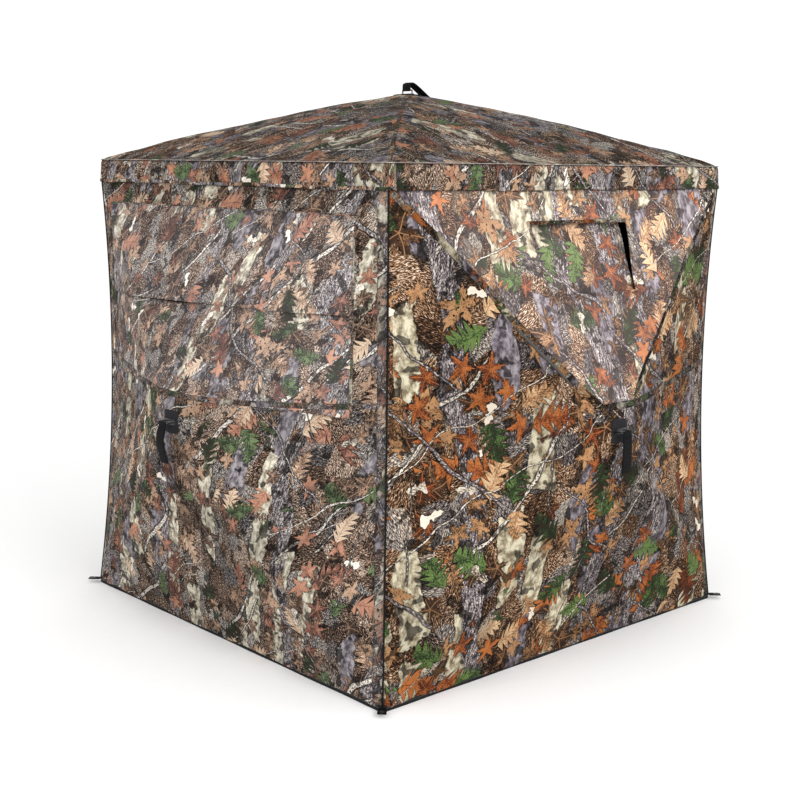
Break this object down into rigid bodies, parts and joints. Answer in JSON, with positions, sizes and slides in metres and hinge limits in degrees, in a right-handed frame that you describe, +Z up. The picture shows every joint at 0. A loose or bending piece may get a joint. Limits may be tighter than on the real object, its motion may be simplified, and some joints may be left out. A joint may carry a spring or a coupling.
{
  "type": "pop up ground blind",
  "caption": "Square fabric cabin held in tension by pop-out hubs with folding poles, with mesh windows, a zipped door and stake eyelets.",
  "frame": {"origin": "on the ground, at the middle of the square footprint", "axes": "+Z up; the front wall, with the window, faces -Y and the back wall, with the door, faces +Y"},
  "size_m": [1.8746, 1.8746, 1.688],
  "materials": {
    "camo_cloth": "matte",
    "camo_mesh": "matte",
    "binding": "matte",
    "webbing": "matte",
    "patch": "satin",
    "zip_tape": "matte",
    "fibreglass": "satin",
    "hub_plastic": "matte",
    "steel": "satin"
  },
  "bodies": {
    "root": {"front_wall": "camo_cloth", "back_wall": "camo_cloth", "left_wall": "camo_cloth", "left_upper_mesh": "camo_mesh", "left_lower_mesh": "camo_mesh", "right_wall": "camo_cloth", "right_upper_mesh": "camo_mesh", "right_lower_mesh": "camo_mesh", "roof": "camo_cloth", "valance": "camo_cloth", "hem": "binding", "corner_pockets": "webbing", "stake_loops": "webbing", "stake_grommets": "steel"},
    "front_hub": {"front_hub": "hub_plastic", "front_hub_fasteners": "steel", "front_hub_patch": "patch"},
    "front_lower_left_pole": {"front_lower_left_pole": "fibreglass"},
    "front_lower_right_pole": {"front_lower_right_pole": "fibreglass"},
    "front_upper_right_pole": {"front_upper_right_pole": "fibreglass"},
    "front_upper_left_pole": {"front_upper_left_pole": "fibreglass"},
    "front_pull_strap": {"front_pull_strap": "webbing"},
    "right_hub": {"right_hub": "hub_plastic", "right_hub_fasteners": "steel", "right_hub_patch": "patch"},
    "right_lower_left_pole": {"right_lower_left_pole": "fibreglass"},
    "right_lower_right_pole": {"right_lower_right_pole": "fibreglass"},
    "right_upper_right_pole": {"right_upper_right_pole": "fibreglass"},
    "right_upper_left_pole": {"right_upper_left_pole": "fibreglass"},
    "right_pull_strap": {"right_pull_strap": "webbing"},
    "back_hub": {"back_hub": "hub_plastic", "back_hub_fasteners": "steel", "back_hub_patch": "patch"},
    "back_lower_left_pole": {"back_lower_left_pole": "fibreglass"},
    "back_lower_right_pole": {"back_lower_right_pole": "fibreglass"},
    "back_upper_right_pole": {"back_upper_right_pole": "fibreglass"},
    "back_upper_left_pole": {"back_upper_left_pole": "fibreglass"},
    "back_pull_strap": {"back_pull_strap": "webbing"},
    "left_hub": {"left_hub": "hub_plastic", "left_hub_fasteners": "steel", "left_hub_patch": "patch"},
    "left_lower_left_pole": {"left_lower_left_pole": "fibreglass"},
    "left_lower_right_pole": {"left_lower_right_pole": "fibreglass"},
    "left_upper_right_pole": {"left_upper_right_pole": "fibreglass"},
    "left_upper_left_pole": {"left_upper_left_pole": "fibreglass"},
    "left_pull_strap": {"left_pull_strap": "webbing"},
    "roof_hub": {"roof_hub": "hub_plastic", "roof_hub_fasteners": "steel", "roof_hub_patch": "patch"},
    "roof_front_right_pole": {"roof_front_right_pole": "fibreglass"},
    "roof_back_right_pole": {"roof_back_right_pole": "fibreglass"},
    "roof_back_left_pole": {"roof_back_left_pole": "fibreglass"},
    "roof_front_left_pole": {"roof_front_left_pole": "fibreglass"},
    "roof_pull_strap": {"roof_pull_strap": "webbing"},
    "front_window_panel": {"front_mesh": "camo_mesh", "front_window_tape": "binding"},
    "front_window_flap": {"front_window_flap": "camo_cloth"},
    "back_door_frame": {"back_door_zip": "zip_tape"},
    "back_door": {"back_door": "camo_cloth"},
    "back_door_slider": {"back_door_slider": "steel"}
  },
  "joints": [
    {"name": "front_hub_pop", "type": "slide", "parent": "root", "child": "front_hub", "axis": [0, -0.9998, 0.0219], "range_m": [-0.382, 0], "deforming": ["front_wall"]},
    {"name": "front_lower_left_pole_hinge", "type": "hinge", "parent": "front_hub", "child": "front_lower_left_pole", "pos_m": [-0.02919, -0.88943, 0.66819], "axis": [-0.6838, 0.016, 0.7295], "range_deg": [0, 24.07]},
    {"name": "front_lower_right_pole_hinge", "type": "hinge", "parent": "front_hub", "child": "front_lower_right_pole", "pos_m": [0.02919, -0.88943, 0.66819], "axis": [-0.6838, -0.016, -0.7295], "range_deg": [0, 24.07]},
    {"name": "front_upper_right_pole_hinge", "type": "hinge", "parent": "front_hub", "child": "front_upper_right_pole", "pos_m": [0.02882, -0.88823, 0.72326], "axis": [0.6934, -0.0158, -0.7204], "range_deg": [0, 24.87]},
    {"name": "front_upper_left_pole_hinge", "type": "hinge", "parent": "front_hub", "child": "front_upper_left_pole", "pos_m": [-0.02882, -0.88823, 0.72326], "axis": [0.6934, 0.0158, 0.7204], "range_deg": [0, 24.87]},
    {"name": "front_pull_strap_hinge", "type": "hinge", "parent": "front_hub", "child": "front_pull_strap", "pos_m": [0, -0.93282, 0.69649], "axis": [-1, 0, 0], "range_deg": [-5, 150]},
    {"name": "right_hub_pop", "type": "slide", "parent": "root", "child": "right_hub", "axis": [0.9998, 0, 0.0219], "range_m": [-0.382, 0], "deforming": ["right_wall", "right_upper_mesh", "right_lower_mesh"]},
    {"name": "right_lower_left_pole_hinge", "type": "hinge", "parent": "right_hub", "child": "right_lower_left_pole", "pos_m": [0.88943, -0.02919, 0.66819], "axis": [-0.016, -0.6838, 0.7295], "range_deg": [0, 24.07]},
    {"name": "right_lower_right_pole_hinge", "type": "hinge", "parent": "right_hub", "child": "right_lower_right_pole", "pos_m": [0.88943, 0.02919, 0.66819], "axis": [0.016, -0.6838, -0.7295], "range_deg": [0, 24.07]},
    {"name": "right_upper_right_pole_hinge", "type": "hinge", "parent": "right_hub", "child": "right_upper_right_pole", "pos_m": [0.88823, 0.02882, 0.72326], "axis": [0.0158, 0.6934, -0.7204], "range_deg": [0, 24.87]},
    {"name": "right_upper_left_pole_hinge", "type": "hinge", "parent": "right_hub", "child": "right_upper_left_pole", "pos_m": [0.88823, -0.02882, 0.72326], "axis": [-0.0158, 0.6934, 0.7204], "range_deg": [0, 24.87]},
    {"name": "right_pull_strap_hinge", "type": "hinge", "parent": "right_hub", "child": "right_pull_strap", "pos_m": [0.93282, 0, 0.69649], "axis": [0, -1, 0], "range_deg": [-5, 150]},
    {"name": "back_hub_pop", "type": "slide", "parent": "root", "child": "back_hub", "axis": [0, 0.9998, 0.0219], "range_m": [-0.382, 0], "deforming": ["back_wall"]},
    {"name": "back_lower_left_pole_hinge", "type": "hinge", "parent": "back_hub", "child": "back_lower_left_pole", "pos_m": [0.02919, 0.88943, 0.66819], "axis": [0.6838, -0.016, 0.7295], "range_deg": [0, 24.07]},
    {"name": "back_lower_right_pole_hinge", "type": "hinge", "parent": "back_hub", "child": "back_lower_right_pole", "pos_m": [-0.02919, 0.88943, 0.66819], "axis": [0.6838, 0.016, -0.7295], "range_deg": [0, 24.07]},
    {"name": "back_upper_right_pole_hinge", "type": "hinge", "parent": "back_hub", "child": "back_upper_right_pole", "pos_m": [-0.02882, 0.88823, 0.72326], "axis": [-0.6934, 0.0158, -0.7204], "range_deg": [0, 24.87]},
    {"name": "back_upper_left_pole_hinge", "type": "hinge", "parent": "back_hub", "child": "back_upper_left_pole", "pos_m": [0.02882, 0.88823, 0.72326], "axis": [-0.6934, -0.0158, 0.7204], "range_deg": [0, 24.87]},
    {"name": "back_pull_strap_hinge", "type": "hinge", "parent": "back_hub", "child": "back_pull_strap", "pos_m": [0, 0.93282, 0.69649], "axis": [1, 0, 0], "range_deg": [-5, 150]},
    {"name": "left_hub_pop", "type": "slide", "parent": "root", "child": "left_hub", "axis": [-0.9998, 0, 0.0219], "range_m": [-0.382, 0], "deforming": ["left_wall", "left_upper_mesh", "left_lower_mesh"]},
    {"name": "left_lower_left_pole_hinge", "type": "hinge", "parent": "left_hub", "child": "left_lower_left_pole", "pos_m": [-0.88943, 0.02919, 0.66819], "axis": [0.016, 0.6838, 0.7295], "range_deg": [0, 24.07]},
    {"name": "left_lower_right_pole_hinge", "type": "hinge", "parent": "left_hub", "child": "left_lower_right_pole", "pos_m": [-0.88943, -0.02919, 0.66819], "axis": [-0.016, 0.6838, -0.7295], "range_deg": [0, 24.07]},
    {"name": "left_upper_right_pole_hinge", "type": "hinge", "parent": "left_hub", "child": "left_upper_right_pole", "pos_m": [-0.88823, -0.02882, 0.72326], "axis": [-0.0158, -0.6934, -0.7204], "range_deg": [0, 24.87]},
    {"name": "left_upper_left_pole_hinge", "type": "hinge", "parent": "left_hub", "child": "left_upper_left_pole", "pos_m": [-0.88823, 0.02882, 0.72326], "axis": [0.0158, -0.6934, 0.7204], "range_deg": [0, 24.87]},
    {"name": "left_pull_strap_hinge", "type": "hinge", "parent": "left_hub", "child": "left_pull_strap", "pos_m": [-0.93282, 0, 0.69649], "axis": [0, 1, 0], "range_deg": [-5, 150]},
    {"name": "roof_hub_pop", "type": "slide", "parent": "root", "child": "roof_hub", "axis": [0, 0, 1], "range_m": [-0.442, 0], "deforming": ["roof"]},
    {"name": "roof_front_right_pole_hinge", "type": "hinge", "parent": "roof_hub", "child": "roof_front_right_pole", "pos_m": [0.02828, -0.02828, 1.633], "axis": [-0.7071, -0.7071, 0], "range_deg": [0, 27.71]},
    {"name": "roof_back_right_pole_hinge", "type": "hinge", "parent": "roof_hub", "child": "roof_back_right_pole", "pos_m": [0.02828, 0.02828, 1.633], "axis": [0.7071, -0.7071, 0], "range_deg": [0, 27.71]},
    {"name": "roof_back_left_pole_hinge", "type": "hinge", "parent": "roof_hub", "child": "roof_back_left_pole", "pos_m": [-0.02828, 0.02828, 1.633], "axis": [0.7071, 0.7071, 0], "range_deg": [0, 27.71]},
    {"name": "roof_front_left_pole_hinge", "type": "hinge", "parent": "roof_hub", "child": "roof_front_left_pole", "pos_m": [-0.02828, -0.02828, 1.633], "axis": [-0.7071, 0.7071, 0], "range_deg": [0, 27.71]},
    {"name": "roof_pull_strap_hinge", "type": "hinge", "parent": "roof_hub", "child": "roof_pull_strap", "pos_m": [0, 0, 1.665], "axis": [0, -1, 0], "range_deg": [0, 95]},
    {"name": "front_window_panel_hinge", "type": "hinge", "parent": "root", "child": "front_window_panel", "pos_m": [0, -0.705, 1.372], "axis": [1, 0, 0], "range_deg": [0, 32.63]},
    {"name": "front_window_flap_hinge", "type": "hinge", "parent": "front_window_panel", "child": "front_window_flap", "pos_m": [0, -0.77931, 1.06422], "axis": [-1, 0, 0], "range_deg": [0, 110]},
    {"name": "back_door_frame_hinge", "type": "hinge", "parent": "root", "child": "back_door_frame", "pos_m": [-0.72, 0.72, 0.686], "axis": [-0.0219, 0.0219, -0.9995], "range_deg": [0, 30.94]},
    {"name": "back_door_hinge", "type": "hinge", "parent": "back_door_frame", "child": "back_door", "pos_m": [-0.72, 0.72, 0.686], "axis": [0.0219, -0.0219, 0.9995], "range_deg": [0, 110]},
    {"name": "back_door_slider_slide", "type": "slide", "parent": "back_door_frame", "child": "back_door_slider", "axis": [-0.715, -0.1739, -0.6771], "range_m": [-0.07964, 0.6417]}
  ],
  "couplings": [
    {"joint": "front_lower_left_pole_hinge", "follows": "front_hub_pop", "rad_per_m": -1.0996},
    {"joint": "front_lower_right_pole_hinge", "follows": "front_hub_pop", "rad_per_m": -1.0996},
    {"joint": "front_upper_right_pole_hinge", "follows": "front_hub_pop", "rad_per_m": -1.1363},
    {"joint": "front_upper_left_pole_hinge", "follows": "front_hub_pop", "rad_per_m": -1.1363},
    {"joint": "right_lower_left_pole_hinge", "follows": "right_hub_pop", "rad_per_m": -1.0996},
    {"joint": "right_lower_right_pole_hinge", "follows": "right_hub_pop", "rad_per_m": -1.0996},
    {"joint": "right_upper_right_pole_hinge", "follows": "right_hub_pop", "rad_per_m": -1.1363},
    {"joint": "right_upper_left_pole_hinge", "follows": "right_hub_pop", "rad_per_m": -1.1363},
    {"joint": "back_lower_left_pole_hinge", "follows": "back_hub_pop", "rad_per_m": -1.0996},
    {"joint": "back_lower_right_pole_hinge", "follows": "back_hub_pop", "rad_per_m": -1.0996},
    {"joint": "back_upper_right_pole_hinge", "follows": "back_hub_pop", "rad_per_m": -1.1363},
    {"joint": "back_upper_left_pole_hinge", "follows": "back_hub_pop", "rad_per_m": -1.1363},
    {"joint": "left_lower_left_pole_hinge", "follows": "left_hub_pop", "rad_per_m": -1.0996},
    {"joint": "left_lower_right_pole_hinge", "follows": "left_hub_pop", "rad_per_m": -1.0996},
    {"joint": "left_upper_right_pole_hinge", "follows": "left_hub_pop", "rad_per_m": -1.1363},
    {"joint": "left_upper_left_pole_hinge", "follows": "left_hub_pop", "rad_per_m": -1.1363},
    {"joint": "roof_front_right_pole_hinge", "follows": "roof_hub_pop", "rad_per_m": -1.094},
    {"joint": "roof_back_right_pole_hinge", "follows": "roof_hub_pop", "rad_per_m": -1.094},
    {"joint": "roof_back_left_pole_hinge", "follows": "roof_hub_pop", "rad_per_m": -1.094},
    {"joint": "roof_front_left_pole_hinge", "follows": "roof_hub_pop", "rad_per_m": -1.094},
    {"joint": "front_window_panel_hinge", "follows": "front_hub_pop", "rad_per_m": -1.4907},
    {"joint": "back_door_frame_hinge", "follows": "back_hub_pop", "rad_per_m": -1.4132}
  ]
}
